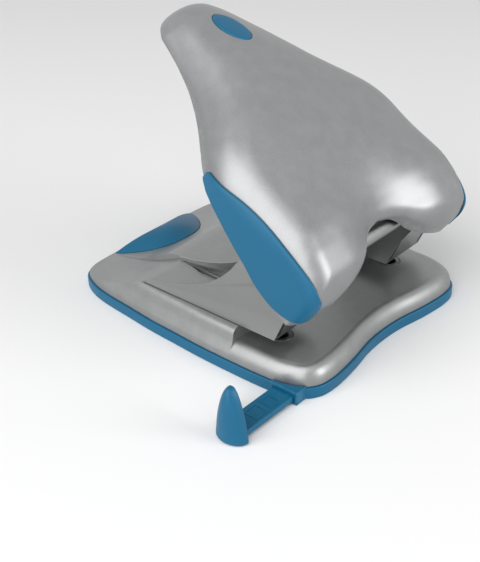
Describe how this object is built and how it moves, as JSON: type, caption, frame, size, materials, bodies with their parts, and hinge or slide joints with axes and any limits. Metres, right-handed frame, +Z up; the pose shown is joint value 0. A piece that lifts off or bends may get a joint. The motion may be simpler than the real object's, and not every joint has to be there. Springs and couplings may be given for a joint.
{
  "type": "hole punch",
  "caption": "Desk hole punch for filing paper: broad silver lever over folded steel towers, a silver base with a paper table, a teal tray and a sliding paper guide.",
  "frame": {"origin": "on the ground, midway between the two punch pins", "axes": "+Z up, -Y towards the paper side, +X to the right seen from the paper side; the paper guide leaves along -X"},
  "size_m": [0.1581, 0.1492, 0.13],
  "materials": {
    "teal_plastic": "satin",
    "silver_plastic": "metallic satin paint",
    "silver_paint": "metallic satin paint",
    "plated_steel": "zinc plated",
    "hardened_steel": "ground and oiled",
    "spring_steel": "drawn wire"
  },
  "bodies": {
    "base": {"base_tray": "teal_plastic", "base_cover": "silver_paint", "rear_pad": "teal_plastic", "base_plate": "plated_steel", "left_bracket": "plated_steel", "right_bracket": "plated_steel", "left_die": "hardened_steel", "right_die": "hardened_steel", "left_pin_guide": "hardened_steel", "right_pin_guide": "hardened_steel", "left_return_spring": "spring_steel", "right_return_spring": "spring_steel", "left_bracket_rivet_1": "plated_steel", "left_bracket_rivet_2": "plated_steel", "right_bracket_rivet_1": "plated_steel", "right_bracket_rivet_2": "plated_steel", "pivot_shaft": "plated_steel", "left_shaft_clip": "hardened_steel", "right_shaft_clip": "hardened_steel"},
    "lever": {"lever_frame": "plated_steel", "lever_cover": "silver_plastic", "left_side_trim": "teal_plastic", "right_side_trim": "teal_plastic", "oval_inlay": "teal_plastic", "cover_screw_1": "plated_steel", "cover_screw_2": "plated_steel", "cover_screw_3": "plated_steel"},
    "left_punch": {"left_punch_pin": "hardened_steel", "left_pin_clip": "hardened_steel"},
    "right_punch": {"right_punch_pin": "hardened_steel", "right_pin_clip": "hardened_steel"},
    "guide": {"paper_guide": "teal_plastic"}
  },
  "joints": [
    {"name": "lever_press", "type": "hinge", "parent": "base", "child": "lever", "pos_m": [0, -0.014, 0.048], "axis": [-1, 0, 0], "range_deg": [0, 40]},
    {"name": "left_pin_stroke", "type": "slide", "parent": "base", "child": "left_punch", "axis": [0, 0, -1], "range_m": [0, 0.0098], "stiffness_N_per_m": 600, "springref_m": -0.01, "deforming": ["left_return_spring"]},
    {"name": "right_pin_stroke", "type": "slide", "parent": "base", "child": "right_punch", "axis": [0, 0, -1], "range_m": [0, 0.0098], "stiffness_N_per_m": 600, "springref_m": -0.01, "deforming": ["right_return_spring"]},
    {"name": "guide_slide", "type": "slide", "parent": "base", "child": "guide", "axis": [-1, 0, 0], "range_m": [-0.028, 0.05]}
  ],
  "couplings": [
    {"joint": "left_pin_stroke", "follows": "lever_press", "m_per_rad": 0.014},
    {"joint": "right_pin_stroke", "follows": "lever_press", "m_per_rad": 0.014}
  ]
}
